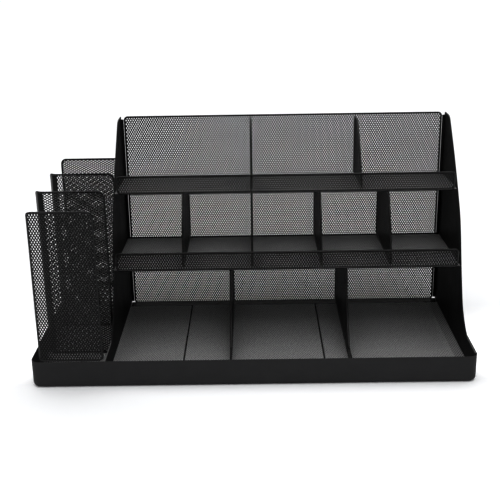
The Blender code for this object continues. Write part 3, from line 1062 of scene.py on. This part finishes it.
# ---------------------------------------------------------------------------------------------
# Studio
# ---------------------------------------------------------------------------------------------
@dataclass(frozen=True)
class SoftBox:
    """A square soft light that looks at the organizer."""

    name: str
    place: tuple[float, float, float]
    size: float
    power: float

    def build(self, target: Vector) -> None:
        """Hang the light.

        Args:
            target: what it looks at.
        """
        light = bpy.data.lights.new(self.name, "AREA")
        light.size = self.size
        light.energy = self.power
        item = bpy.data.objects.new(self.name, light)
        item.location = self.place
        item.rotation_mode = "QUATERNION"
        item.rotation_quaternion = (target - item.location).to_track_quat("-Z", "Y")
        bpy.context.scene.collection.objects.link(item)


@dataclass
class Studio:
    """A white floor, a sky that brightens overhead, one soft light, and a camera in front and above."""

    camera_place: tuple[float, float, float] = (0.00343, -1.27617, 0.58299)
    yaw: float = 0.3293
    pitch: float = 18.968
    roll: float = -0.9319
    lens: float = 65.87
    sensor: float = 36.0
    floor_size: float = 30.0
    floor_colour: tuple[float, float, float] = (0.94, 0.945, 0.955)
    floor_roughness: float = 0.85
    floor_sheen: float = 0.2
    sky: float = 0.62
    overhead: float = 1.60
    overhead_narrowing: float = 4.0
    view_gamma: float = 0.70
    # painted glow of the floor beside the base, which hides the shadow there
    glow: float = 0.45
    glow_edge: float = 0.03
    glow_reach: float = 0.25
    aim: tuple[float, float, float] = (0.0, 0.0, 0.12)
    lights: tuple[SoftBox, ...] = (
        SoftBox("key", (0.3, -1.6, 2.2), 0.5, 6.0),
    )

    def build(self) -> None:
        """Set up the floor, the light and the camera."""
        self.build_floor()
        self.build_world()
        for light in self.lights:
            light.build(Vector(self.aim))
        self.build_camera()

    def build_floor(self) -> None:
        """Lay the floor."""
        ground = bmesh.new()
        bmesh.ops.create_grid(ground, x_segments=2, y_segments=2, size=self.floor_size / 2)
        data = bpy.data.meshes.new("floor_white")
        ground.to_mesh(data)
        ground.free()
        material = bpy.data.materials.new("floor_white")
        material.use_nodes = True
        shader = material.node_tree.nodes["Principled BSDF"]
        shader.inputs["Base Color"].default_value = (*self.floor_colour, 1.0)
        shader.inputs["Roughness"].default_value = self.floor_roughness
        shader.inputs["Specular IOR Level"].default_value = self.floor_sheen
        # The floor glows beside the base: painted light that hides the shadow the organizer casts there.
        shader.inputs["Emission Color"].default_value = (1.0, 1.0, 1.0, 1.0)
        self.paint_glow_beside_base(NodeBench(material.node_tree), shader.inputs["Emission Strength"])
        data.materials.append(material)
        item = bpy.data.objects.new("floor_white", data)
        bpy.context.scene.collection.objects.link(item)

    def paint_glow_beside_base(self, bench: NodeBench, strength: bpy.types.NodeSocket) -> None:
        """Paint a glow into the floor beside the base, which washes out the shadow there so that it stays
        white.

        Args:
            bench: the floor material's nodes.
            strength: what the glow is joined to.
        """
        place = bench.split(bench.add("ShaderNodeTexCoord").outputs["Object"])
        low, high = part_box("base_skirt")
        aside = bench.math("ABSOLUTE", place["X"], 0.0)
        glow = self.glow
        for value, start, end in ((aside, high.x - self.glow_edge, high.x),
                                  (aside, high.x + self.glow_reach, high.x),
                                  (place["Y"], low.y, low.y + 2 * self.glow_edge),
                                  (place["Y"], high.y, 0.0)):
            glow = bench.math("MULTIPLY", bench.ramp(value, start, end, "SMOOTHSTEP"), glow)
        bench.join(glow, strength)

    def build_world(self) -> None:
        """Light the scene from a sky that brightens overhead, and show it white behind the floor."""
        world = bpy.data.worlds.new("studio")
        world.use_nodes = True
        background = world.node_tree.nodes["Background"]
        bench = NodeBench(world.node_tree)
        direction = bench.split(bench.add("ShaderNodeTexCoord").outputs["Generated"])
        upward = bench.math("MAXIMUM", direction["Z"], 0.0)
        narrowed = bench.math("POWER", upward, self.overhead_narrowing)
        overhead = bench.math("MULTIPLY", narrowed, self.overhead)
        light = bench.math("ADD", overhead, self.sky)
        seen = bench.add("ShaderNodeLightPath").outputs["Is Camera Ray"]
        bench.join(bench.math("MAXIMUM", light, seen), background.inputs["Strength"])
        background.inputs["Color"].default_value = (1.0, 1.0, 1.0, 1.0)
        bpy.context.scene.world = world
        view = bpy.context.scene.view_settings
        view.view_transform = "Standard"
        view.gamma = self.view_gamma

    def build_camera(self) -> None:
        """Place the camera."""
        data = bpy.data.cameras.new("camera")
        data.lens = self.lens
        data.sensor_width = self.sensor
        item = bpy.data.objects.new("camera", data)
        bpy.context.scene.collection.objects.link(item)
        turn = (Matrix.Rotation(math.radians(self.yaw), 4, "Z")
                @ Matrix.Rotation(math.radians(90 - self.pitch), 4, "X")
                @ Matrix.Rotation(math.radians(self.roll), 4, "Z"))
        item.matrix_world = Matrix.Translation(self.camera_place) @ turn
        bpy.context.scene.camera = item


# ---------------------------------------------------------------------------------------------
# The whole organizer
# ---------------------------------------------------------------------------------------------
def main() -> None:
    """Build every piece, then the studio."""
    logging.basicConfig(level=logging.INFO, format="%(name)s %(message)s")
    shop = Workshop()
    BaseTray().build(shop)
    SidePanel("side_panel_left", 1).build(shop)
    SidePanel("side_panel_right", -1).build(shop)
    FramedPanel("back", Facing.FRONT, BACK_SEAMS).build(shop)
    for shelf in ("mid", "top"):
        Shelf(shelf).build(shop)
    for tier, count in (("top", 2), ("mid", 4), ("bottom", 2)):
        for number in range(1, count + 1):
            FramedPanel(f"{tier}_divider_{number}", Facing.SIDE).build(shop)
    LetterSorter().build(shop)
    Studio().build()


if __name__ == "__main__":
    main()
